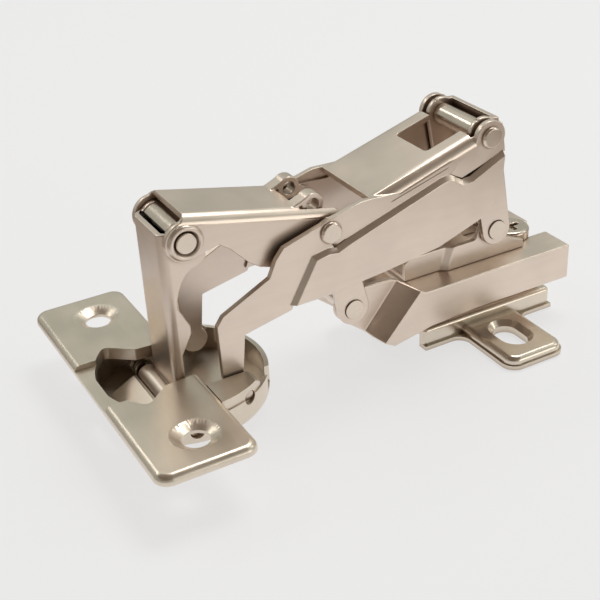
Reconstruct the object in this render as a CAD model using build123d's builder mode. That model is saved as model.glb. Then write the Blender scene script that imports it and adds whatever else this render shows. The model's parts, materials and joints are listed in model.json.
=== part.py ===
from build123d import *
import os

os.makedirs("parts", exist_ok=True)

# Wide-angle concealed cabinet hinge, opened by a quarter turn.
# Millimetres. X runs from the door side to the back of the cabinet, Y along
# the pins, Z up from the face of the side panel. The origin is on the panel
# face, midway between the two screw slots of the mounting plate.

# Sheet thicknesses and fits
link_sheet = 1.2
arm_sheet = 1.4
plate_sheet = 1.8
flange_sheet = 1.2
cup_sheet = 0.9
shield_sheet = 0.6
side_play = 0.15
head_play = 0.05
pin_play = 0.05
shield_play = 0.5

# Pivot lines in side view, as x and z
front_base_pivot = (-32.5, 14.5)
rear_base_pivot = (2.0, 22.2)
rear_top_pivot = (-2.0, 44.1)
centre_pivot = (-38.4, 34.0)
front_top_pivot = (-66.4, 39.0)
cup_front_pivot = (-71.7, 6.0)
cup_rear_pivot = (-60.1, 8.5)

# Half widths of the nested channels, from the outside in
outer_half = 9.9
shield_half = outer_half - link_sheet
inner_half = shield_half - shield_sheet - shield_play
ear_half = inner_half - link_sheet - side_play
ear_inside = ear_half - link_sheet
arm_half = 11.0

# Pins, rivets and eyes
base_pin_radius = 1.9
rivet_radius = 2.0
collar_inside = 2.3
collar_height = 0.65
rivet_head_radius = 2.2
rivet_head_height = 0.8
low_head_radius = 2.0
low_head_height = 0.3
lobe_radius = 3.4
front_lobe_radius = 3.9
bush_radius = 3.0
roller_radius = 2.2

# Cup, sunk in the door, and its screw flange
cup_pin_radius = 1.3
cup_pin_offset = 3.9
cup_x = cup_front_pivot[0] + cup_pin_offset
cup_radius = 17.5
cup_depth = 6.8
cup_floor_bend = 2.0
flange_bottom = 9.6
flange_rise = 1.9
flange_half_length = 33.0
flange_front = cup_x - 17.8
flange_back = cup_x + 1.4
flange_screw_x = cup_x - 7.0
flange_screw_spacing = 48.0
flange_screw_radius = 2.6
flange_countersink_radius = 4.9
cup_mouth_radius = 15.6
rear_rim_height = 8.6
rear_hood_top = 10.8
rear_hood_end = cup_rear_pivot[0] + 3.4
leg_notch_height = 5.2
hood_gap = 7.0
strip_half = 8.0
strip_height = 0.8
cup_bottom = flange_bottom - cup_depth
flange_top = flange_bottom + flange_rise

# Base arm
arm_top = 15.2
arm_skirt_bottom = 7.4
arm_front = -19.0
arm_back = 19.0
carrier_back = 10.4
carrier_wall_top = 20.2

# Mounting plate
plate_half = 8.6
plate_height = 4.6
plate_front = -16.5
plate_back = 16.4
wing_half_length = 25.5
wing_half_width = 7.2
screw_slot_spacing = 32.0
screw_slot_length = 8.4
screw_slot_width = 5.2
wing_height = 2.6
foot_lip = 0.9
slot_sink = 1.1
slide_half = 7.0


def shifted(point, dx, dz):
    """A side-view point moved by dx and dz."""
    return (point[0] + dx, point[1] + dz)


# Outer link: a channel whose legs are cranked down into the cup, with a
# lower panel on each flange pressed outwards
panel_proud = 1.0
panel_outline = (
    (-47.9, 21.4),
    (-40.1, 21.5),
    (-27.5, 22.7),
    (-14.5, 24.4),
    (-3.3, 28.2),
    (0.2, 32.4),
    (1.0, 41.0),
    (-6.9, 37.3),
    (-8.8, 37.1),
    (-10.4, 38.1),
    (-11.9, 39.0),
    (-13.9, 38.7),
    (-27.6, 34.2),
    (-35.5, 31.6),
    (-37.5, 30.7),
    (-39.3, 31.0),
    (-42.7, 30.4),
)
web_front = (-28.9, 38.3)
web_back = (-6.4, 44.9)
leg_eye_radius = 2.7
with BuildPart() as outer_link:
    with BuildSketch(Plane.XZ):
        Polygon(
            web_front,
            web_back,
            shifted(rear_top_pivot, 2.6, 2.6),
            shifted(rear_top_pivot, 3.6, -3.6),
            shifted(rear_top_pivot, -6.8, -6.8),
            shifted(rear_top_pivot, -9.6, -5.2),
            shifted(centre_pivot, 1.9, -2.7),
            shifted(centre_pivot, -4.1, -5.2),
            (-47.4, 20.3),
            (-57.5, 18.2),
            (-58.4, 10.0),
            (-62.6, 10.0),
            (-62.9, 21.6),
            (-61.6, 23.4),
            (-51.6, 28.3),
            (-50.1, 31.6),
            (-48.4, 33.6),
            (-37.6, 36.8),
            (-31.4, 38.4),
            align=None,
        )
        with Locations(cup_rear_pivot):
            Circle(leg_eye_radius)
        with Locations(rear_top_pivot):
            Circle(lobe_radius)
    extrude(amount=outer_half, both=True)
    web_edges = outer_link.edges().filter_by(GeomType.LINE).filter_by(
        lambda edge: abs(edge.tangent_at(0.5).Y) < 0.1
        and edge.center().Z > 40
        and -20 < edge.center().X < -10
    )
    fillet(web_edges, 2 * link_sheet)
    # Lower panels, with a slope down to the flange along their upper edge
    for side in (-1, 1):
        with BuildSketch(Plane.XZ.offset(-side * (outer_half + panel_proud))):
            Polygon(*panel_outline, align=None)
        extrude(amount=side * link_sheet)
        slope_edges = outer_link.edges().filter_by(
            lambda edge: abs(edge.center().Y - side * (outer_half + panel_proud)) < 0.01
            and edge.center().Z > 0.37 * edge.center().X + 39.0
        )
        chamfer(slope_edges, panel_proud - 0.1)
    # Room between the flanges, below and beyond the web
    with BuildSketch(Plane.XZ):
        Polygon(
            shifted(web_front, -0.4, -link_sheet),
            shifted(web_back, 0.4, -link_sheet),
            shifted(web_back, 0.4, 20),
            shifted(web_back, 30, 20),
            shifted(web_back, 30, -50),
            shifted(web_front, -50, -50),
            shifted(web_front, -50, 20),
            shifted(web_front, -0.4, 20),
            align=None,
        )
    extrude(amount=shield_half, both=True, mode=Mode.SUBTRACT)
    # Notch in the back of the web
    with BuildSketch(Plane.XY.offset(50)):
        with Locations((-9.4, 0)):
            RectangleRounded(9.4, 10.6, 0.8)
    extrude(amount=-14, mode=Mode.SUBTRACT)
    with BuildSketch(Plane.XZ):
        with Locations(centre_pivot, rear_top_pivot):
            Circle(rivet_radius)
    extrude(amount=outer_half, both=True, mode=Mode.SUBTRACT)
outer_link.part.label = "outer_link"
export_step(outer_link.part, "parts/outer_link.step")

# Side shields: plain plates riveted inside the flanges of the outer link
for side, name in ((-1, "near_shield"), (1, "far_shield")):
    with BuildPart() as shield:
        with BuildSketch(Plane.XZ.offset(-side * shield_half)):
            Polygon(
                *panel_outline[:6],
                (1.4, 42.6),
                (-6.0, 42.6),
                (-28.5, 36.0),
                (-38.4, 36.4),
                (-43.4, 33.0),
                align=None,
            )
            with Locations(centre_pivot, rear_top_pivot):
                Circle(rivet_radius, mode=Mode.SUBTRACT)
        extrude(amount=side * shield_sheet)
    shield.part.label = name
    export_step(shield.part, f"parts/{name}.step")

# Inner link: a bent channel with two rolled eyes at the end of its web
inner_web_front = (-65.8, 44.0)
inner_web_back = (-43.0, 38.9)
eye_centre = (-39.8, 38.5)
eye_outer = 2.3
eye_inner = 1.3
with BuildPart() as inner_link:
    with BuildSketch(Plane.XZ):
        Polygon(
            inner_web_front,
            inner_web_back,
            shifted(centre_pivot, 2.4, 3.4),
            shifted(centre_pivot, 4.8, 1.5),
            shifted(centre_pivot, 5.2, -3.0),
            shifted(front_base_pivot, lobe_radius, 1.0),
            shifted(front_base_pivot, -lobe_radius, 0.0),
            shifted(front_base_pivot, -4.4, 5.0),
            (-43.6, 27.0),
            (-52.3, 29.9),
            (-54.4, 31.4),
            (-57.9, 35.2),
            (-60.1, 36.8),
            (-61.7, 36.4),
            shifted(front_top_pivot, 1.0, -3.6),
            shifted(front_top_pivot, -3.7, 0.6),
            align=None,
        )
        with Locations(front_top_pivot):
            Circle(front_lobe_radius)
        with Locations(front_base_pivot):
            Circle(lobe_radius)
    extrude(amount=inner_half, both=True)
    web_edges = inner_link.edges().filter_by(GeomType.LINE).filter_by(
        lambda edge: abs(edge.tangent_at(0.5).Y) < 0.1
        and edge.center().Z > 41
        and -56 < edge.center().X < -52
    )
    fillet(web_edges, 2.2)
    with BuildSketch(Plane.XZ):
        Polygon(
            shifted(inner_web_front, -0.3, -link_sheet),
            shifted(inner_web_back, 0.3, -link_sheet),
            shifted(inner_web_back, 0.3, 20),
            shifted(inner_web_back, 40, 20),
            shifted(inner_web_back, 40, -50),
            shifted(inner_web_front, -30, -50),
            shifted(inner_web_front, -30, 20),
            shifted(inner_web_front, -0.3, 20),
            align=None,
        )
    extrude(amount=inner_half - link_sheet, both=True, mode=Mode.SUBTRACT)
    # Rolled eyes on two tongues of the web
    for side in (-1, 1):
        with BuildSketch(Plane.XZ.offset(side * 4.6)):
            Polygon(
                shifted(inner_web_back, -1.0, 0.2),
                shifted(eye_centre, 0.0, eye_outer),
                shifted(eye_centre, 0.0, eye_inner),
                shifted(inner_web_back, -1.0, -0.8),
                align=None,
            )
            with Locations(eye_centre):
                Circle(eye_outer)
                Circle(eye_inner, mode=Mode.SUBTRACT)
        extrude(amount=1.4, both=True)
    # Raised round collars about the front rivet
    for side in (-1, 1):
        with BuildSketch(Plane.XZ.offset(side * inner_half)):
            with Locations(front_top_pivot):
                Circle(lobe_radius)
                Circle(collar_inside, mode=Mode.SUBTRACT)
        extrude(amount=side * collar_height)
        rims = inner_link.edges().filter_by(GeomType.CIRCLE).filter_by(
            lambda edge: abs(edge.center().Y + side * (inner_half + collar_height)) < 0.01
        )
        chamfer(rims, collar_height - 0.35)
    with BuildSketch(Plane.XZ):
        with Locations(centre_pivot):
            Circle(rivet_radius + pin_play)
        with Locations(front_base_pivot):
            Circle(base_pin_radius + pin_play)
        with Locations(front_top_pivot):
            Circle(rivet_radius)
    extrude(amount=inner_half + 2, both=True, mode=Mode.SUBTRACT)
inner_link.part.label = "inner_link"
export_step(inner_link.part, "parts/inner_link.step")

# Front lever: web toward the door, ears at the top, rolled eye at the foot
lever_face = -70.8
with BuildPart() as front_lever:
    with BuildSketch(Plane.XZ):
        Polygon(
            (lever_face, 40.6),
            shifted(front_top_pivot, -2.4, 1.9),
            shifted(front_top_pivot, 0.0, 3.0),
            shifted(front_top_pivot, 2.6, -1.6),
            (-68.4, 32.1),
            (-68.6, 28.3),
            (-68.6, 25.6),
            (-66.6, 21.4),
            (-66.5, 19.8),
            (-68.7, 15.7),
            (-68.7, 7.0),
            (lever_face, 7.0),
            align=None,
        )
        with Locations(front_top_pivot):
            Circle(3.1)
    extrude(amount=ear_half, both=True)
    web_edges = front_lever.edges().filter_by(Axis.Z).filter_by(
        lambda edge: edge.center().X < lever_face + 0.1 and edge.length > 20
    )
    fillet(web_edges, 1.8)
    with BuildSketch(Plane.XZ):
        with Locations(cup_front_pivot):
            Circle(cup_pin_radius + 0.9)
    extrude(amount=ear_half, both=True)
    with BuildSketch(Plane.XZ):
        Polygon(
            (lever_face + link_sheet, 60),
            (lever_face + link_sheet, 10.5),
            (lever_face + 30, 10.5),
            (lever_face + 30, 60),
            align=None,
        )
    extrude(amount=ear_inside, both=True, mode=Mode.SUBTRACT)
    with BuildSketch(Plane.XZ):
        with Locations(front_top_pivot):
            Circle(rivet_radius + pin_play)
        with Locations(cup_front_pivot):
            Circle(cup_pin_radius + pin_play)
    extrude(amount=ear_half, both=True, mode=Mode.SUBTRACT)
front_lever.part.label = "front_lever"
export_step(front_lever.part, "parts/front_lever.step")

# Rear lever: web toward the back of the cabinet
rear_web_offset = 3.5
with BuildPart() as rear_lever:
    with BuildSketch(Plane.XZ):
        Polygon(
            shifted(rear_top_pivot, -1.5, 3.1),
            shifted(rear_top_pivot, rear_web_offset, 2.8),
            shifted(rear_base_pivot, lobe_radius, 0.0),
            shifted(rear_base_pivot, -lobe_radius, 0.0),
            shifted(rear_top_pivot, -lobe_radius, 0.0),
            align=None,
        )
        with Locations(rear_top_pivot, rear_base_pivot):
            Circle(lobe_radius)
    extrude(amount=inner_half, both=True)
    with BuildSketch(Plane.XZ):
        Polygon(
            shifted(rear_top_pivot, rear_web_offset - link_sheet, 20),
            shifted(rear_top_pivot, rear_web_offset - link_sheet, 2.8),
            (3.3, 28.0),
            (30, 28.0),
            (30, 0),
            (-30, 0),
            (-30, 64),
            align=None,
        )
    extrude(amount=inner_half - link_sheet, both=True, mode=Mode.SUBTRACT)
    with BuildSketch(Plane.XZ):
        with Locations(rear_top_pivot):
            Circle(rivet_radius)
        with Locations(rear_base_pivot):
            Circle(base_pin_radius + pin_play)
    extrude(amount=inner_half, both=True, mode=Mode.SUBTRACT)
rear_lever.part.label = "rear_lever"
export_step(rear_lever.part, "parts/rear_lever.step")

# Pins that turn in the base ears and carry a low head at each end
for name, pivot in (
    ("front_base_pin", front_base_pivot),
    ("rear_base_pin", rear_base_pivot),
):
    with BuildPart() as base_pin:
        with BuildSketch(Plane.XZ):
            with Locations(pivot):
                Circle(base_pin_radius)
        extrude(amount=inner_half + head_play, both=True)
        for side in (-1, 1):
            with BuildSketch(Plane.XZ.offset(side * (inner_half + head_play))):
                with Locations(pivot):
                    Circle(low_head_radius)
            extrude(amount=side * low_head_height)
    base_pin.part.label = name
    export_step(base_pin.part, f"parts/{name}.step")

# Rivet through the scissor centre
with BuildPart() as centre_rivet:
    with BuildSketch(Plane.XZ):
        with Locations(centre_pivot):
            Circle(rivet_radius)
    extrude(amount=outer_half, both=True)
    for side in (-1, 1):
        with BuildSketch(Plane.XZ.offset(side * outer_half)):
            with Locations(centre_pivot):
                Circle(rivet_head_radius)
        extrude(amount=side * rivet_head_height)
    chamfer(centre_rivet.faces().sort_by(Axis.Y)[0].edges(), 0.35)
    chamfer(centre_rivet.faces().sort_by(Axis.Y)[-1].edges(), 0.35)
centre_rivet.part.label = "centre_rivet"
export_step(centre_rivet.part, "parts/centre_rivet.step")

# Rivets at the top of the rear lever, one in each flange of the outer link
with BuildPart() as rear_top_rivets:
    for side in (-1, 1):
        with BuildSketch(Plane.XZ.offset(side * (inner_half + side_play))):
            with Locations(rear_top_pivot):
                Circle(rivet_radius)
        extrude(amount=side * (outer_half - inner_half - side_play))
        with BuildSketch(Plane.XZ.offset(side * outer_half)):
            with Locations(rear_top_pivot):
                Circle(rivet_head_radius)
        extrude(amount=side * rivet_head_height)
    chamfer(rear_top_rivets.faces().sort_by(Axis.Y)[0].edges(), 0.35)
    chamfer(rear_top_rivets.faces().sort_by(Axis.Y)[-1].edges(), 0.35)
rear_top_rivets.part.label = "rear_top_rivets"
export_step(rear_top_rivets.part, "parts/rear_top_rivets.step")

# Roller between the ears of the rear lever
with BuildPart() as rear_roller:
    with BuildSketch(Plane.XZ):
        with Locations(rear_top_pivot):
            Circle(rivet_radius)
    extrude(amount=inner_half, both=True)
    with BuildSketch(Plane.XZ):
        with Locations(rear_top_pivot):
            Circle(roller_radius)
    extrude(amount=inner_half - link_sheet, both=True)
rear_roller.part.label = "rear_roller"
export_step(rear_roller.part, "parts/rear_roller.step")

# Rivet and bush at the top of the front lever
with BuildPart() as front_rivet:
    with BuildSketch(Plane.XZ):
        with Locations(front_top_pivot):
            Circle(rivet_radius)
    extrude(amount=inner_half + 0.6, both=True)
front_rivet.part.label = "front_rivet"
export_step(front_rivet.part, "parts/front_rivet.step")

with BuildPart() as front_bush:
    with BuildSketch(Plane.XZ):
        with Locations(front_top_pivot):
            Circle(bush_radius)
            Circle(rivet_radius + pin_play, mode=Mode.SUBTRACT)
    extrude(amount=ear_inside, both=True)
front_bush.part.label = "front_bush"
export_step(front_bush.part, "parts/front_bush.step")

# Cup with its raised screw flange. The wall leans in at the front, and two
# hoods of the flange reach in over the front pin, one each side of the lever
cup_wall_z = cup_bottom + cup_sheet
room_top = flange_bottom - flange_sheet / 2
front_lean = 3.0
mouth_side = (
    (-15.3, 6.0),
    (-14.0, 9.0),
    (-11.6, 11.4),
    (-9.8, 11.0),
    (-5.4, hood_gap + 0.4),
    (0.8, hood_gap),
    (4.8, hood_gap + 1.6),
    (5.6, outer_half + 0.5),
    (20.0, outer_half + 0.5),
)
with BuildPart() as hinge_cup:
    with BuildSketch(Plane.XY.offset(cup_bottom)):
        with Locations((cup_x, 0)):
            Circle(cup_radius)
    extrude(amount=flange_bottom - cup_bottom + strip_height)
    fillet(hinge_cup.faces().sort_by(Axis.Z)[0].edges(), cup_floor_bend)
    with BuildSketch(Plane.XZ):
        Polygon(
            (flange_front - 5, flange_bottom),
            (flange_front + 0.8, flange_bottom),
            (flange_front + 0.8 + front_lean, cup_bottom),
            (flange_front - 5, cup_bottom),
            align=None,
        )
    extrude(amount=cup_radius, both=True, mode=Mode.SUBTRACT)
    # The wall is lower behind the flange, with a notch for each leg
    with BuildSketch(Plane.XY.offset(rear_rim_height)):
        with Locations((flange_back + 20, 0)):
            Rectangle(40, 50)
    extrude(amount=20, mode=Mode.SUBTRACT)
    with BuildSketch(Plane.XY.offset(leg_notch_height)):
        with Locations(
            (flange_back + 20, outer_half - link_sheet / 2),
            (flange_back + 20, link_sheet / 2 - outer_half),
        ):
            RectangleRounded(30, link_sheet + 1.6, 0.6)
    extrude(amount=20, mode=Mode.SUBTRACT)
    with BuildSketch(Plane.XY.offset(flange_bottom)):
        with Locations(((flange_front + flange_back) / 2, 0)):
            RectangleRounded(flange_back - flange_front, 2 * flange_half_length, 2.8)
    extrude(amount=flange_rise)
    wing_edges = hinge_cup.faces().sort_by(Axis.Z)[-1].edges()
    fillet(wing_edges, 1.4)
    # Lower strip in front of the mouth, between the two wings
    with BuildSketch(Plane.XY.offset(flange_bottom + strip_height)):
        with Locations(((flange_front + flange_back) / 2 - 10, 0)):
            Rectangle(flange_back - flange_front, 2 * strip_half)
    extrude(amount=5, mode=Mode.SUBTRACT)
    # Hollow under each wing, but for a boss round the screw hole
    with BuildSketch(Plane.XY.offset(flange_bottom)):
        with Locations(((flange_front + flange_back) / 2, 0)):
            Rectangle(
                flange_back - flange_front - 2 * flange_sheet,
                2 * flange_half_length - 2 * flange_sheet,
            )
        with Locations((cup_x, 0)):
            Circle(cup_radius + 1.2, mode=Mode.SUBTRACT)
        with Locations(
            (flange_screw_x, flange_screw_spacing / 2),
            (flange_screw_x, -flange_screw_spacing / 2),
        ):
            Circle(flange_countersink_radius + 0.8, mode=Mode.SUBTRACT)
        Rectangle(400, 2 * (strip_half + flange_sheet), mode=Mode.SUBTRACT)
    extrude(amount=flange_rise - flange_sheet, mode=Mode.SUBTRACT)
    # A hood over each rear pin
    with BuildSketch(Plane.XY.offset(rear_rim_height)):
        with Locations((cup_x, 0)):
            Circle(cup_radius - 0.3)
        with Locations(((flange_back + rear_hood_end) / 2, 0)):
            Rectangle(rear_hood_end - flange_back, 50, mode=Mode.INTERSECT)
        Rectangle(400, 2 * outer_half + 1.0, mode=Mode.SUBTRACT)
    extrude(amount=rear_hood_top - rear_rim_height)
    hood_ends = hinge_cup.edges().filter_by(Axis.Y).filter_by(
        lambda edge: abs(edge.center().Z - rear_hood_top) < 0.01 and edge.center().X > flange_back + 1
    )
    chamfer(hood_ends, 1.4)
    # Room in the bowl
    with BuildSketch(Plane.XY.offset(cup_wall_z)):
        with Locations((cup_x, 0)):
            Circle(cup_radius - cup_sheet)
        with Locations((flange_front + front_lean + 1.0 - 20, 0)):
            Rectangle(40, 60, mode=Mode.SUBTRACT)
    extrude(amount=room_top - cup_wall_z, mode=Mode.SUBTRACT)
    # Mouth
    with BuildSketch(Plane.XY.offset(cup_wall_z)):
        with Locations((cup_x, 0)):
            Circle(cup_mouth_radius)
            Polygon(
                *mouth_side,
                *[(x, -y) for x, y in reversed(mouth_side)],
                align=None,
                mode=Mode.INTERSECT,
            )
        fillet(vertices().filter_by(lambda v: v.X < cup_x + 5), 0.8)
    extrude(amount=30, mode=Mode.SUBTRACT)
    # Ramp pressed up in the floor in front of the lever's foot
    with BuildSketch(Plane.XZ):
        Polygon(
            shifted(cup_front_pivot, -2.4, cup_wall_z - cup_front_pivot[1]),
            shifted(cup_front_pivot, -2.4, 0.5),
            shifted(cup_front_pivot, -3.0, 0.6),
            shifted(cup_front_pivot, -7.2, -1.6),
            shifted(cup_front_pivot, -8.2, cup_wall_z - cup_front_pivot[1]),
            align=None,
        )
    extrude(amount=ear_half, both=True)
    # Screw holes
    for side in (-1, 1):
        with Locations((flange_screw_x, side * flange_screw_spacing / 2, flange_top)):
            CounterSinkHole(
                flange_screw_radius, flange_countersink_radius, depth=6, counter_sink_angle=122
            )
    # Holes for the two pins
    with BuildSketch(Plane.XZ):
        with Locations(cup_front_pivot, cup_rear_pivot):
            Circle(cup_pin_radius)
    extrude(amount=cup_radius, both=True, mode=Mode.SUBTRACT)
hinge_cup.part.label = "hinge_cup"
export_step(hinge_cup.part, "parts/hinge_cup.step")

with BuildPart() as cup_front_pin:
    with BuildSketch(Plane.XZ):
        with Locations(cup_front_pivot):
            Circle(cup_pin_radius)
    extrude(amount=cup_radius - cup_sheet - 0.5, both=True)
cup_front_pin.part.label = "cup_front_pin"
export_step(cup_front_pin.part, "parts/cup_front_pin.step")

with BuildPart() as cup_rear_pins:
    for side in (-1, 1):
        with BuildSketch(Plane.XZ.offset(side * (outer_half + side_play))):
            with Locations(cup_rear_pivot):
                Circle(cup_pin_radius)
        extrude(amount=side * (14.6 - outer_half - side_play))
cup_rear_pins.part.label = "cup_rear_pins"
export_step(cup_rear_pins.part, "parts/cup_rear_pins.step")

# Closing springs: a coil on each end of the front pin, its tail on the floor
spring_wire = 0.35
spring_mean_radius = cup_pin_radius + spring_wire + 0.1
spring_turns = 4
spring_pitch = 0.9
with BuildPart() as closing_springs:
    for side in (-1, 1):
        start_y = side * (ear_half + 0.9)
        with BuildLine() as coil:
            Helix(
                spring_pitch,
                spring_turns * spring_pitch,
                spring_mean_radius,
                center=(cup_front_pivot[0], start_y, cup_front_pivot[1]),
                direction=(0, side, 0),
            )
        with BuildSketch(Plane(coil.edges()[0] @ 0, z_dir=coil.edges()[0] % 0)):
            RegularPolygon(spring_wire, 6)
        sweep(path=coil.edges()[0])
        tail_x = cup_front_pivot[0] + spring_mean_radius
        with BuildLine() as tail:
            Line((tail_x, start_y, cup_front_pivot[1]), (tail_x, start_y, cup_wall_z))
        with BuildSketch(Plane(tail.edges()[0] @ 0, z_dir=tail.edges()[0] % 0)):
            RegularPolygon(spring_wire, 6)
        sweep(path=tail.edges()[0])
closing_springs.part.label = "closing_springs"
export_step(closing_springs.part, "parts/closing_springs.step")

# Base arm: a channel over the mounting plate, drawn in to two front ears


def joggled_wall(side, ends, halves, joggle, sheet):
    """Plan of one side wall that steps out from one half width to the other."""
    narrow, wide = halves
    start, end = joggle
    return [
        (ends[0], side * narrow),
        (start, side * narrow),
        (end, side * wide),
        (ends[1], side * wide),
        (ends[1], side * (wide - sheet)),
        (end + 0.6, side * (wide - sheet)),
        (start + 0.6, side * (narrow - sheet)),
        (ends[0], side * (narrow - sheet)),
    ]


arm_wall_ends = (-38.0, arm_front + 14)
with BuildPart() as base_arm:
    for side in (-1, 1):
        for height, joggle in ((4.0, (-32.5, -29.7)), (20.0, (-19.1, -15.1))):
            with BuildSketch(Plane.XY.offset(height)):
                Polygon(
                    *joggled_wall(side, arm_wall_ends, (ear_half, arm_half), joggle, arm_sheet),
                    align=None,
                )
        loft()
    with BuildSketch(Plane.XZ):
        Polygon(
            shifted(front_base_pivot, -lobe_radius, 0.6),
            shifted(front_base_pivot, -2.4, -2.4),
            (-28.6, 6.9),
            (-25.1, 5.0),
            (-16.0, arm_skirt_bottom - 0.6),
            (arm_front + 14, arm_skirt_bottom),
            (arm_front + 14, arm_top),
            (-17.6, arm_top),
            (-22.7, 17.5),
            shifted(front_base_pivot, 2.0, lobe_radius),
            align=None,
        )
        with Locations(front_base_pivot):
            Circle(lobe_radius)
    extrude(amount=arm_half, both=True, mode=Mode.INTERSECT)
    with BuildSketch(Plane.XY.offset(arm_skirt_bottom)):
        with Locations((arm_back / 2 - 2.5, 0)):
            Rectangle(arm_back + 5, 2 * arm_half)
            Rectangle(arm_back + 5, 2 * (arm_half - arm_sheet), mode=Mode.SUBTRACT)
    extrude(amount=arm_top - arm_skirt_bottom)
    with BuildSketch(Plane.XY.offset(arm_top - arm_sheet)):
        with Locations(((arm_front + arm_back) / 2, 0)):
            Rectangle(arm_back - arm_front, 2 * (arm_half - arm_sheet))
    extrude(amount=arm_sheet)
    # Open slot at the back for the fixing screw
    with BuildSketch(Plane.XY.offset(arm_skirt_bottom)):
        with Locations((arm_back - 3.0, 0)):
            Rectangle(16.0, 6.0)
        with Locations((arm_back - 11.0, 0)):
            Circle(3.0)
        with Locations((arm_back + 1, 0)):
            Rectangle(2, 2 * (arm_half - arm_sheet) - 6)
    extrude(amount=arm_top, mode=Mode.SUBTRACT)
    with BuildSketch(Plane.XY.offset(arm_top)):
        with Locations((-9.0, 0)):
            Circle(2.5)
    extrude(amount=-3, mode=Mode.SUBTRACT)
    with BuildSketch(Plane.XZ):
        with Locations(front_base_pivot):
            Circle(base_pin_radius)
    extrude(amount=arm_half, both=True, mode=Mode.SUBTRACT)
base_arm.part.label = "base_arm"
export_step(base_arm.part, "parts/base_arm.step")

# Link carrier: an upright channel on the arm that holds the rear pin
carrier_front = -18.9
carrier_narrow = ear_half - 1.1
with BuildPart() as link_carrier:
    for side in (-1, 1):
        for height, joggle in ((arm_top, (-10.6, -9.2)), (27.0, (-6.8, -5.4))):
            with BuildSketch(Plane.XY.offset(height)):
                Polygon(
                    *joggled_wall(
                        side,
                        (carrier_front, carrier_back),
                        (carrier_narrow, ear_half),
                        joggle,
                        link_sheet,
                    ),
                    align=None,
                )
        loft()
    with BuildSketch(Plane.XY.offset(arm_top)):
        Rectangle(2 * 18.9, 2 * (carrier_narrow - 0.3))
        with Locations((carrier_back / 2 - 4, 0)):
            Rectangle(carrier_back + 8, 2 * (ear_half - 0.3))
        with Locations((carrier_back + 20, 0)):
            Rectangle(40, 40, mode=Mode.SUBTRACT)
    extrude(amount=link_sheet)
    with BuildSketch(Plane.XZ):
        Polygon(
            (carrier_front, arm_top),
            (carrier_front, carrier_wall_top - 1.0),
            (carrier_front + 1.0, carrier_wall_top),
            shifted(rear_base_pivot, -4.4, -1.8),
            shifted(rear_base_pivot, -2.4, 2.0),
            shifted(rear_base_pivot, 2.0, 2.4),
            shifted(rear_base_pivot, 4.0, -3.4),
            (carrier_back, 16.9),
            (carrier_back, arm_top),
            align=None,
        )
        with Locations(rear_base_pivot):
            Circle(3.1)
    extrude(amount=ear_half, both=True, mode=Mode.INTERSECT)
    with BuildSketch(Plane.XY.offset(arm_top - 1)):
        with Locations((-9.0, 0)):
            Circle(2.5)
        with Locations((carrier_back - 3.5, 0)):
            Rectangle(10.0, 2 * ear_inside)
    extrude(amount=5, mode=Mode.SUBTRACT)
    with BuildSketch(Plane.XZ):
        with Locations(rear_base_pivot):
            Circle(base_pin_radius)
    extrude(amount=ear_half, both=True, mode=Mode.SUBTRACT)
link_carrier.part.label = "link_carrier"
export_step(link_carrier.part, "parts/link_carrier.step")

# Slide channel: riveted on the mounting plate, it carries the arm
slide_top = arm_top - arm_sheet
with BuildPart() as slide_channel:
    with BuildSketch(Plane.YZ.offset(plate_front + 2)):
        with Locations((0, (plate_height + slide_top) / 2)):
            Rectangle(2 * slide_half, slide_top - plate_height)
        with Locations((0, (plate_height + slide_top) / 2 - plate_sheet)):
            Rectangle(2 * (slide_half - plate_sheet), slide_top - plate_height, mode=Mode.SUBTRACT)
    extrude(amount=plate_back - plate_front - 4)
    with BuildSketch(Plane.XY.offset(slide_top)):
        with Locations((-9.0, 0), (arm_back - 7.5, 0)):
            Circle(2.0)
    extrude(amount=-plate_sheet, mode=Mode.SUBTRACT)
slide_channel.part.label = "slide_channel"
export_step(slide_channel.part, "parts/slide_channel.step")

# Mounting plate: raised rail with a slotted wing on each side
with BuildPart() as mounting_plate:
    with BuildSketch(Plane.XY):
        with Locations(((plate_front + plate_back) / 2, 0)):
            RectangleRounded(plate_back - plate_front, 2 * plate_half, 1.0)
    extrude(amount=plate_height)
    fillet(mounting_plate.faces().sort_by(Axis.Z)[-1].edges(), 0.8)
    # Foot lip and wings in one outline, its inner corners rounded
    with BuildSketch(Plane.XY):
        with Locations(((plate_front + plate_back) / 2, 0)):
            Rectangle(plate_back - plate_front, 2 * plate_half + 1.2)
        RectangleRounded(2 * wing_half_width, 2 * wing_half_length, 3.0)
        fillet(
            vertices().filter_by(
                lambda v: abs(abs(v.X) - wing_half_width) < 0.1 and abs(v.Y) < plate_half + 1
            ),
            2.6,
        )
    extrude(amount=foot_lip)
    # Raised part of each wing
    with BuildSketch(Plane.XY.offset(foot_lip)):
        RectangleRounded(2 * wing_half_width - 0.8, 2 * wing_half_length - 0.8, 2.6)
    extrude(amount=wing_height - foot_lip)
    wing_edges = mounting_plate.edges().filter_by(
        lambda edge: abs(edge.center().Z - wing_height) < 0.01 and abs(edge.center().Y) > plate_half + 0.1
    )
    fillet(wing_edges, 1.2)
    with BuildSketch(Plane.XY):
        with Locations(((plate_front + plate_back) / 2, 0)):
            Rectangle(40, 2 * (plate_half - plate_sheet))
    extrude(amount=plate_height - plate_sheet, mode=Mode.SUBTRACT)
    # Screw slots, sunk round their upper edge
    for side in (-1, 1):
        with BuildSketch(Plane.XY):
            with Locations((0, side * screw_slot_spacing / 2)):
                SlotOverall(screw_slot_length, screw_slot_width, rotation=90)
        extrude(amount=plate_height, mode=Mode.SUBTRACT)
        with BuildSketch(Plane.XY.offset(wing_height)):
            with Locations((0, side * screw_slot_spacing / 2)):
                SlotOverall(
                    screw_slot_length + 2 * slot_sink, screw_slot_width + 2 * slot_sink, rotation=90
                )
        extrude(amount=-slot_sink, taper=45, mode=Mode.SUBTRACT)
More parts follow.
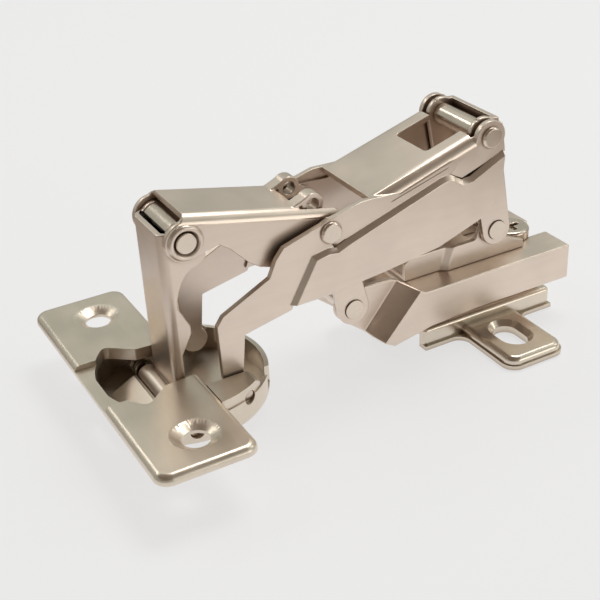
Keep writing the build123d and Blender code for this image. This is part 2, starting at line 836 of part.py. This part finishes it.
mounting_plate.part.label = "mounting_plate"
export_step(mounting_plate.part, "parts/mounting_plate.step")

# Fixing screw in the back slot and side adjusting screw in the carrier
for name, x, seat, head_radius, shank in (
    ("fixing_screw", arm_back - 7.5, arm_top, ear_inside - 0.85, 2.0),
    ("side_adjusting_screw", -9.0, arm_top + link_sheet, carrier_narrow - link_sheet - 0.35, 2.0),
):
    with BuildPart() as screw:
        with BuildSketch(Plane.XY.offset(seat)):
            with Locations((x, 0)):
                Circle(head_radius)
        extrude(amount=2.2)
        fillet(screw.faces().sort_by(Axis.Z)[-1].edges(), 0.7)
        with BuildSketch(Plane.XY.offset(seat)):
            with Locations((x, 0)):
                Circle(shank)
        extrude(amount=-(seat - slide_top + plate_sheet + 1.5))
        # Cross recess
        with BuildSketch(Plane.XY.offset(seat + 2.2)):
            with Locations((x, 0)):
                Rectangle(4.4, 1.0)
                Rectangle(1.0, 4.4)
        extrude(amount=-1.3, mode=Mode.SUBTRACT)
    screw.part.label = name
    export_step(screw.part, f"parts/{name}.step")
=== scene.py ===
import bpy
import bmesh
import json
import math
from mathutils import Matrix, Vector


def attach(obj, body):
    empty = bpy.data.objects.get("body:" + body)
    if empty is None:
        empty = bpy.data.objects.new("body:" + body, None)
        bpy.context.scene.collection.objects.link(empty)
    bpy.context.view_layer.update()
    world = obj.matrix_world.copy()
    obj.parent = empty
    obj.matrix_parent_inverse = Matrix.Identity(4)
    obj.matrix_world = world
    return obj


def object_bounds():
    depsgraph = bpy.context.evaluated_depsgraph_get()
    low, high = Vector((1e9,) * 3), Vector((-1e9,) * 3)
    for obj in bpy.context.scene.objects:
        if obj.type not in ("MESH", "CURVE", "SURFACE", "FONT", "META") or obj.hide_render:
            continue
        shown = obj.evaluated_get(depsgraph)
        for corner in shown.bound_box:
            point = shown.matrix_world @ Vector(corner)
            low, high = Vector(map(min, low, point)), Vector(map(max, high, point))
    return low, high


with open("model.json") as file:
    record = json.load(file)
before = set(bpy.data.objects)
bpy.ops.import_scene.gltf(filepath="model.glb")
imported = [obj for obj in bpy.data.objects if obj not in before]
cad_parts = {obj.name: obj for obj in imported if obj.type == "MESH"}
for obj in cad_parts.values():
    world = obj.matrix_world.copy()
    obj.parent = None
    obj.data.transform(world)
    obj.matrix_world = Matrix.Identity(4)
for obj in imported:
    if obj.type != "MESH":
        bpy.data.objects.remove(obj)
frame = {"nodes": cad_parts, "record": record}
nodes = frame["nodes"]
cad_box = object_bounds()
scene = bpy.context.scene

# Colours of the metal: satin nickel over pressed steel, a painted highlight on the edges, dark wire, a
# painted brown shade
NICKEL_WARM = (0.88, 0.75, 0.645)
NICKEL_COOL = (0.84, 0.74, 0.62)
NICKEL_PIN = (0.86, 0.74, 0.63)
NICKEL_EDGE_HIGHLIGHT = (0.86, 0.8, 0.7)
STEEL_DARK = (0.36, 0.31, 0.25)
# Brown of the painted shade in the hollows
PAINTED_SHADE_BROWN = (0.26, 0.18, 0.12)
WHITE = (1, 1, 1)

# Scales of the noises
CLOUDS = 95
STREAKS = 260
SPECKLE = 2600
WAVES = 130
PULP = 900

# Relief as strength and height: sheet that is never quite flat, rolling marks, grain, paper
DENTS = (0.04, 0.0002)
ROLLING = (0.015, 0.00006)
GRAIN = (0.025, 0.00003)
PAPER_GRAIN = (0.03, 0.0002)

METALLIC = 0.8
CLOUD_SHADE = 0.9
MARKS_COLOR = (0.94, 0.93, 0.92)
MARKS_AMOUNT = 0.4
MARKS_IN_ROUGHNESS = 0.45
# Reach of the painted highlight on the edges
EDGE_HIGHLIGHT_RADIUS = 0.00035

# Sockets of a colour mix, which can only be told apart by number
FACTOR = 0
COLOR_A = 6
COLOR_B = 7
MIXED = 2


def link(tree, a, a_socket, b, b_socket):
    tree.links.new(a.outputs[a_socket], b.inputs[b_socket])


def ramp(tree, stops):
    node = tree.nodes.new("ShaderNodeValToRGB")
    while len(node.color_ramp.elements) < len(stops):
        node.color_ramp.elements.new(0.5)
    for element, (place, color) in zip(node.color_ramp.elements, stops):
        element.position = place
        element.color = (*color, 1)
    return node


def noise(tree, coords, scale, stretch=(1, 1, 1), detail=2.0):
    mapping = tree.nodes.new("ShaderNodeMapping")
    mapping.inputs["Scale"].default_value = stretch
    link(tree, coords, "Object", mapping, "Vector")
    node = tree.nodes.new("ShaderNodeTexNoise")
    node.inputs["Scale"].default_value = scale
    node.inputs["Detail"].default_value = detail
    link(tree, mapping, "Vector", node, "Vector")
    return node


def bump(tree, heights, relief, under=None):
    node = tree.nodes.new("ShaderNodeBump")
    node.inputs["Strength"].default_value, node.inputs["Distance"].default_value = relief
    link(tree, heights, "Fac", node, "Height")
    if under:
        link(tree, under, "Normal", node, "Normal")
    return node


def mix(tree, kind="MIX"):
    node = tree.nodes.new("ShaderNodeMix")
    node.data_type = "RGBA"
    node.blend_type = kind
    return node


def arithmetic(tree, operation, second=1.0):
    node = tree.nodes.new("ShaderNodeMath")
    node.operation = operation
    node.inputs[1].default_value = second
    return node


def vector_math(tree, operation, second=(0, 0, 0)):
    node = tree.nodes.new("ShaderNodeVectorMath")
    node.operation = operation
    node.inputs[1].default_value = second
    return node


def map_range(tree, start, end, to=(0.0, 1.0), kind="LINEAR"):
    node = tree.nodes.new("ShaderNodeMapRange")
    node.interpolation_type = kind
    node.inputs["From Min"].default_value = start
    node.inputs["From Max"].default_value = end
    node.inputs["To Min"].default_value, node.inputs["To Max"].default_value = to
    return node


def nickel(name, color, rough=(0.28, 0.34), brush=(1, 1, 1), edge=0.5, nest=0.0028, painted_shade_amount=0.8):
    """Satin plating: cloudy roughness, rolling marks, fine grain, a painted highlight on the edges, painted
    brown shade in the corners.
    """
    material = bpy.data.materials.new(name)
    material.use_nodes = True
    tree = material.node_tree
    shader = tree.nodes["Principled BSDF"]
    shader.inputs["Metallic"].default_value = METALLIC
    coords = tree.nodes.new("ShaderNodeTexCoord")
    clouds = noise(tree, coords, CLOUDS)
    streaks = noise(tree, coords, STREAKS, stretch=brush)
    speckle = noise(tree, coords, SPECKLE)
    waves = noise(tree, coords, WAVES, detail=1.5)

    # Tone: darker in the clouds, with faint rolling marks
    tone = ramp(tree, [(0.32, tuple(c * CLOUD_SHADE for c in color)), (0.68, color)])
    link(tree, clouds, "Fac", tone, "Fac")
    marks = ramp(tree, [(0.35, MARKS_COLOR), (0.6, WHITE)])
    link(tree, streaks, "Fac", marks, "Fac")
    toned = mix(tree, "MULTIPLY")
    toned.inputs[FACTOR].default_value = MARKS_AMOUNT
    link(tree, tone, "Color", toned, COLOR_A)
    link(tree, marks, "Color", toned, COLOR_B)

    # Painted highlight: edges lightened in the base colour, found where a rounded normal leaves the true one
    bevel = tree.nodes.new("ShaderNodeBevel")
    bevel.samples = 6
    bevel.inputs["Radius"].default_value = EDGE_HIGHLIGHT_RADIUS
    geometry = tree.nodes.new("ShaderNodeNewGeometry")
    agreement = vector_math(tree, "DOT_PRODUCT")
    link(tree, bevel, "Normal", agreement, 0)
    link(tree, geometry, "True Normal", agreement, 1)
    edge_highlight_mask = map_range(tree, 0.995, 0.86)
    link(tree, agreement, "Value", edge_highlight_mask, "Value")
    edge_highlight_amount = arithmetic(tree, "MULTIPLY", edge)
    link(tree, edge_highlight_mask, "Result", edge_highlight_amount, 0)
    with_edge_highlight = mix(tree)
    with_edge_highlight.inputs[COLOR_B].default_value = (*NICKEL_EDGE_HIGHLIGHT, 1)
    link(tree, edge_highlight_amount, 0, with_edge_highlight, FACTOR)
    link(tree, toned, MIXED, with_edge_highlight, COLOR_A)

    # Painted shade: the base colour darkened to brown where pieces nest, found by ambient occlusion
    hollow = tree.nodes.new("ShaderNodeAmbientOcclusion")
    hollow.samples = 8
    hollow.inputs["Distance"].default_value = nest
    shade = ramp(tree, [(0.25, PAINTED_SHADE_BROWN), (0.85, WHITE)])
    link(tree, hollow, "AO", shade, "Fac")
    with_painted_shade = mix(tree, "MULTIPLY")
    with_painted_shade.inputs[FACTOR].default_value = painted_shade_amount
    link(tree, with_edge_highlight, MIXED, with_painted_shade, COLOR_A)
    link(tree, shade, "Color", with_painted_shade, COLOR_B)
    link(tree, with_painted_shade, MIXED, shader, "Base Color")

    # Roughness from the clouds and the rolling marks
    uneven = arithmetic(tree, "MULTIPLY_ADD", MARKS_IN_ROUGHNESS)
    link(tree, streaks, "Fac", uneven, 0)
    link(tree, clouds, "Fac", uneven, 2)
    spread = map_range(tree, 0.5, 0.95, to=rough)
    link(tree, uneven, 0, spread, "Value")
    link(tree, spread, "Result", shader, "Roughness")

    dents = bump(tree, waves, DENTS)
    rolled = bump(tree, streaks, ROLLING, under=dents)
    fine = bump(tree, speckle, GRAIN, under=rolled)
    link(tree, fine, "Normal", shader, "Normal")
    return material


# nest is the reach of the painted shade in the hollows, and the amount after it is how dark that painted
# shade gets
finishes = {
    "nickel_links": nickel("nickel_links", NICKEL_WARM, brush=(0.35, 1, 3)),
    "nickel_cup": nickel("nickel_cup", NICKEL_COOL, brush=(3, 0.35, 1), nest=0.0045, painted_shade_amount=0.6),
    "nickel_arm": nickel("nickel_arm", NICKEL_WARM, brush=(0.3, 3, 3), nest=0.0014, painted_shade_amount=0.35),
    "nickel_plate": nickel("nickel_plate", NICKEL_COOL, rough=(0.2, 0.27), brush=(0.4, 3, 1), nest=0.002),
    "steel_pins": nickel("steel_pins", NICKEL_PIN, rough=(0.16, 0.26), edge=0.6),
    "spring_steel": nickel("spring_steel", STEEL_DARK, rough=(0.28, 0.4)),
    "steel_screws": nickel("steel_screws", NICKEL_PIN, rough=(0.18, 0.3), edge=0.6),
}
slot_of = {row["node"]: row["material_slot"] for row in frame["record"]["subparts"]}

# Rounding of edges: the usual width, the distance that joins points, and the least angle
EDGE = 0.00024
MERGE = 0.000002
EDGE_ANGLE = math.radians(32)
FLAT_ANGLE = math.radians(0.6)

# Pieces with a width of their own, where 0 leaves a piece as it is
edge_width = {
    "closing_springs": 0.0,
    "hinge_cup": 0.0004,
    "mounting_plate": 0.00035,
}
# Sheet parts with a short edge somewhere, which would hold back every other edge: the width,
# and the distance that joins points
free_edges = {
    "base_arm": (0.00035, 0.0001),
    "link_carrier": (0.0003, 0.00005),
    "inner_link": (0.0002, 0.0002),
    "outer_link": (0.00013, 0.0002),
    "front_lever": (0.00024, 0.000002),
    "rear_lever": (0.00024, 0.000002),
}


def round_off(obj, width, merge=MERGE, clamp=True):
    """Broken sheet edges: join the faces, drop flat edges, round the sharp ones."""
    for polygon in obj.data.polygons:
        polygon.use_smooth = True
    weld = obj.modifiers.new("join", "WELD")
    weld.merge_threshold = merge
    flat = obj.modifiers.new("flat", "DECIMATE")
    flat.decimate_type = "DISSOLVE"
    flat.angle_limit = FLAT_ANGLE
    bevel = obj.modifiers.new("edges", "BEVEL")
    bevel.width = width
    bevel.segments = 3
    bevel.limit_method = "ANGLE"
    bevel.angle_limit = EDGE_ANGLE
    bevel.use_clamp_overlap = clamp
    bevel.miter_outer = "MITER_ARC"
    normals = obj.modifiers.new("normals", "WEIGHTED_NORMAL")
    normals.mode = "FACE_AREA_WITH_ANGLE"
    normals.keep_sharp = False


for name, node in nodes.items():
    node.data.materials.clear()
    node.data.materials.append(finishes[slot_of[name]])
    if node.data.attributes.get("custom_normal"):
        node.data.attributes.remove(node.data.attributes["custom_normal"])
    width = edge_width.get(name, EDGE)
    if name in free_edges:
        round_off(node, *free_edges[name], clamp=False)
    elif width:
        round_off(node, width)

# Press lines under the bend of the outer link, on both flanges, by their ends in the side view
OUTER_SIDE = 0.0099
LINE_HALF = 0.00022
LINE_PROUD = 0.00014
LINE_SUNK = 0.00005
LINE_TAPER = 0.0012
PRESS_LINES = (((-0.0238, 0.0375), (-0.0103, 0.0417)), ((-0.0258, 0.0364), (-0.0112, 0.0405)))
# Faces of a ridge: three at its start, three along it, three at its end
RIDGE_FACES = (
    (0, 1, 3),
    (0, 3, 2),
    (0, 2, 1),
    (1, 4, 6, 3),
    (3, 6, 5, 2),
    (2, 5, 4, 1),
    (7, 6, 4),
    (7, 5, 6),
    (7, 4, 5),
)


def press_line(name, side, start, end):
    """Thin roof-shaped ridge, sunk a little into the sheet, tapered at both ends."""
    foot = side * (OUTER_SIDE - LINE_SUNK)
    a = Vector((start[0], foot, start[1]))
    b = Vector((end[0], foot, end[1]))
    along = (b - a).normalized()
    across = Vector((-along.z, 0, along.x)) * LINE_HALF
    crest = Vector((0, side * (LINE_PROUD + LINE_SUNK), 0))
    a2, b2 = a + along * LINE_TAPER, b - along * LINE_TAPER
    points = [a, a2 + across, a2 - across, a2 + crest, b2 + across, b2 - across, b2 + crest, b]
    faces = RIDGE_FACES
    if side > 0:
        faces = [tuple(reversed(face)) for face in faces]
    mesh = bpy.data.meshes.new(name)
    mesh.from_pydata(points, [], faces)
    mesh.materials.append(finishes[slot_of["outer_link"]])
    ridge = bpy.data.objects.new(name, mesh)
    scene.collection.objects.link(ridge)
    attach(ridge, "outer")


for side, tag in ((-1, "near"), (1, "far")):
    for count, (start, end) in enumerate(PRESS_LINES):
        press_line(f"press_line_{tag}_{count + 1}", side, start, end)

# Gussets below the lobes of the front lever, one on each ear, by their outline in the side view
EAR_OUTSIDE = 0.00625
EAR_SHEET = 0.0012
GUSSET_SUNK = 0.00001
GUSSET_EDGE = 0.00018
GUSSET = (
    (-0.0690, 0.0270),
    (-0.0685, 0.0275),
    (-0.0681, 0.0290),
    (-0.0675, 0.0305),
    (-0.0666, 0.0319),
    (-0.0655, 0.0327),
    (-0.0635, 0.0334),
    (-0.0622, 0.0345),
    (-0.0622, 0.0368),
    (-0.0640, 0.0378),
    (-0.0690, 0.0330),
)


def plate(name, outline, inside, outside, node, body):
    """Flat piece of sheet with an outline in the side view, between two values of Y."""
    count = len(outline)
    points = [(x, y, z) for y in (inside, outside) for x, z in outline]
    faces = [tuple(range(count)), tuple(reversed(range(count, 2 * count)))]
    faces += [(i, i + count, (i + 1) % count + count, (i + 1) % count) for i in range(count)]
    mesh = bpy.data.meshes.new(name)
    mesh.from_pydata(points, [], faces)
    shape = bmesh.new()
    shape.from_mesh(mesh)
    bmesh.ops.recalc_face_normals(shape, faces=shape.faces)
    shape.to_mesh(mesh)
    shape.free()
    mesh.materials.append(finishes[slot_of[node]])
    piece = bpy.data.objects.new(name, mesh)
    scene.collection.objects.link(piece)
    round_off(piece, GUSSET_EDGE)
    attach(piece, body)


for side, tag in ((-1, "near"), (1, "far")):
    plate(
        f"gusset_{tag}",
        GUSSET,
        side * (EAR_OUTSIDE - EAR_SHEET),
        side * (EAR_OUTSIDE - GUSSET_SUNK),
        "front_lever",
        "front",
    )

# Floor of pale paper that gives off part of its own light. Seen straight it is pale everywhere,
# and in the metal it turns brown beyond a distance from the middle
FLOOR_SIZE = 6.0
FLOOR_DROP = 0.0002
PAPER = (0.87, 0.87, 0.895)
PAPER_ROUGHNESS = 0.9
PAPER_GLOW = (0.95, 0.95, 0.95)
FLOOR_BROWN = (0.22, 0.17, 0.13)
FLOOR_MIDDLE = (-0.03, -0.02, 0.0)
PALE_REACH = 0.075
BROWN_REACH = 0.13
GLOW_SEEN_STRAIGHT = 0.7
GLOW_IN_METAL = 0.8


def paper_material():
    paper = bpy.data.materials.new("paper")
    paper.use_nodes = True
    tree = paper.node_tree
    shader = tree.nodes["Principled BSDF"]
    shader.inputs["Base Color"].default_value = (*PAPER, 1)
    shader.inputs["Roughness"].default_value = PAPER_ROUGHNESS
    coords = tree.nodes.new("ShaderNodeTexCoord")
    fibres = bump(tree, noise(tree, coords, PULP), PAPER_GRAIN)
    link(tree, fibres, "Normal", shader, "Normal")

    # Colour of the glow: pale, and brown far out for rays that come from the metal
    rays = tree.nodes.new("ShaderNodeLightPath")
    from_middle = vector_math(tree, "DISTANCE", FLOOR_MIDDLE)
    link(tree, coords, "Object", from_middle, 0)
    far_out = map_range(tree, PALE_REACH, BROWN_REACH, kind="SMOOTHSTEP")
    link(tree, from_middle, "Value", far_out, "Value")
    far_in_metal = arithmetic(tree, "MULTIPLY")
    link(tree, far_out, "Result", far_in_metal, 0)
    link(tree, rays, "Is Glossy Ray", far_in_metal, 1)
    glow_color = mix(tree)
    glow_color.inputs[COLOR_A].default_value = (*PAPER_GLOW, 1)
    glow_color.inputs[COLOR_B].default_value = (*FLOOR_BROWN, 1)
    link(tree, far_in_metal, 0, glow_color, FACTOR)
    glow = tree.nodes.new("ShaderNodeEmission")
    link(tree, glow_color, MIXED, glow, "Color")

    # Share of the glow, for the camera and for the metal
    seen_straight = arithmetic(tree, "MULTIPLY", GLOW_SEEN_STRAIGHT)
    link(tree, rays, "Is Camera Ray", seen_straight, 0)
    seen = arithmetic(tree, "MULTIPLY_ADD", GLOW_IN_METAL)
    link(tree, rays, "Is Glossy Ray", seen, 0)
    link(tree, seen_straight, 0, seen, 2)
    surface = tree.nodes.new("ShaderNodeMixShader")
    link(tree, seen, 0, surface, 0)
    link(tree, shader, "BSDF", surface, 1)
    link(tree, glow, "Emission", surface, 2)
    link(tree, surface, 0, tree.nodes["Material Output"], "Surface")
    return paper


bpy.ops.mesh.primitive_plane_add(size=FLOOR_SIZE, location=(0, 0, cad_box[0].z - FLOOR_DROP))
floor = bpy.context.object
floor.name = "floor"
floor.data.materials.append(paper_material())

# Surround: a studio in greys from below to overhead, with a dark patch overhead toward the cup
# and the near side. The camera itself sees an even, pale backdrop
SKY = [
    (0.0, (0.50, 0.48, 0.45)),
    (0.50, (0.44, 0.44, 0.40)),
    (0.60, (0.43, 0.45, 0.42)),
    (0.75, (0.35, 0.39, 0.355)),
    (0.88, (0.82, 0.84, 0.81)),
    (1.0, (1.0, 1.0, 0.98)),
]
DARK_SKY = (0.13, 0.095, 0.07)
DARK_TOWARD = (-0.35, -0.3, 0.88)
DARK_FROM = 0.56
DARK_FULL = 0.68
BACKDROP = (0.84, 0.84, 0.84)

world = bpy.data.worlds.new("studio")
scene.world = world
world.use_nodes = True
tree = world.node_tree
background = tree.nodes["Background"]
background.inputs["Strength"].default_value = 1.0
coords = tree.nodes.new("ShaderNodeTexCoord")
split = tree.nodes.new("ShaderNodeSeparateXYZ")
link(tree, coords, "Generated", split, "Vector")
raised = map_range(tree, -1.0, 1.0)
link(tree, split, "Z", raised, "Value")
height = ramp(tree, SKY)
link(tree, raised, "Result", height, "Fac")
toward = vector_math(tree, "DOT_PRODUCT", DARK_TOWARD)
link(tree, coords, "Generated", toward, 0)
in_patch = map_range(tree, DARK_FROM, DARK_FULL, kind="SMOOTHSTEP")
link(tree, toward, "Value", in_patch, "Value")
sky = mix(tree)
sky.inputs[COLOR_B].default_value = (*DARK_SKY, 1)
link(tree, in_patch, "Result", sky, FACTOR)
link(tree, height, "Color", sky, COLOR_A)
rays = tree.nodes.new("ShaderNodeLightPath")
backdrop = mix(tree)
backdrop.inputs[COLOR_B].default_value = (*BACKDROP, 1)
link(tree, rays, "Is Camera Ray", backdrop, FACTOR)
link(tree, sky, MIXED, backdrop, COLOR_A)
link(tree, backdrop, MIXED, background, "Color")

# Soft boxes, placed from the point that they light
TARGET = Vector((-0.0415, -0.002, 0.0168))


def soft_box(name, place, size, power, color):
    lamp = bpy.data.lights.new(name, "AREA")
    lamp.shape = "RECTANGLE"
    lamp.size, lamp.size_y = size
    lamp.energy = power
    lamp.color = color
    obj = bpy.data.objects.new(name, lamp)
    obj.location = TARGET + Vector(place)
    obj.rotation_euler = (-Vector(place)).to_track_quat("-Z", "Y").to_euler()
    scene.collection.objects.link(obj)


soft_box("key", place=(0.26, 0.13, 0.6), size=(0.3, 0.24), power=1.3, color=(1.0, 0.985, 0.95))
soft_box("back", place=(-0.3, 0.5, 0.5), size=(0.4, 0.12), power=0.45, color=(1.0, 0.97, 0.93))
soft_box("side", place=(0.6, -0.2, 0.35), size=(0.12, 0.3), power=0.25, color=(1.0, 0.95, 0.88))
soft_box("fill", place=(0.35, -0.6, 0.1), size=(0.4, 0.2), power=0.5, color=(1.0, 0.95, 0.9))

# Camera, solved from the photo
IMAGE_PIXELS = 600
FOCAL_PIXELS = 1171.75
SENSOR_MM = 36.0
AZIMUTH = math.radians(-27.61)
ELEVATION = math.radians(29.75)
ROLL = math.radians(-3.2)
DISTANCE = 0.23031
AIM = Vector((-0.04149, -0.00197, 0.0168))
back = Vector(
    (
        math.sin(AZIMUTH) * math.cos(ELEVATION),
        -math.cos(AZIMUTH) * math.cos(ELEVATION),
        math.sin(ELEVATION),
    )
)
right = Vector((0, 0, 1)).cross(back).normalized()
up = back.cross(right)
turned_right = right * math.cos(ROLL) + up * math.sin(ROLL)
turned_up = up * math.cos(ROLL) - right * math.sin(ROLL)
eye = bpy.data.cameras.new("camera")
eye.sensor_width = SENSOR_MM
eye.lens = SENSOR_MM * FOCAL_PIXELS / IMAGE_PIXELS
eye.clip_start = 0.01
eye.clip_end = 20
camera = bpy.data.objects.new("camera", eye)
scene.collection.objects.link(camera)
pose = Matrix((turned_right, turned_up, back)).transposed().to_4x4()
pose.translation = AIM + back * DISTANCE
camera.matrix_world = pose
scene.camera = camera

scene.view_settings.view_transform = "Standard"
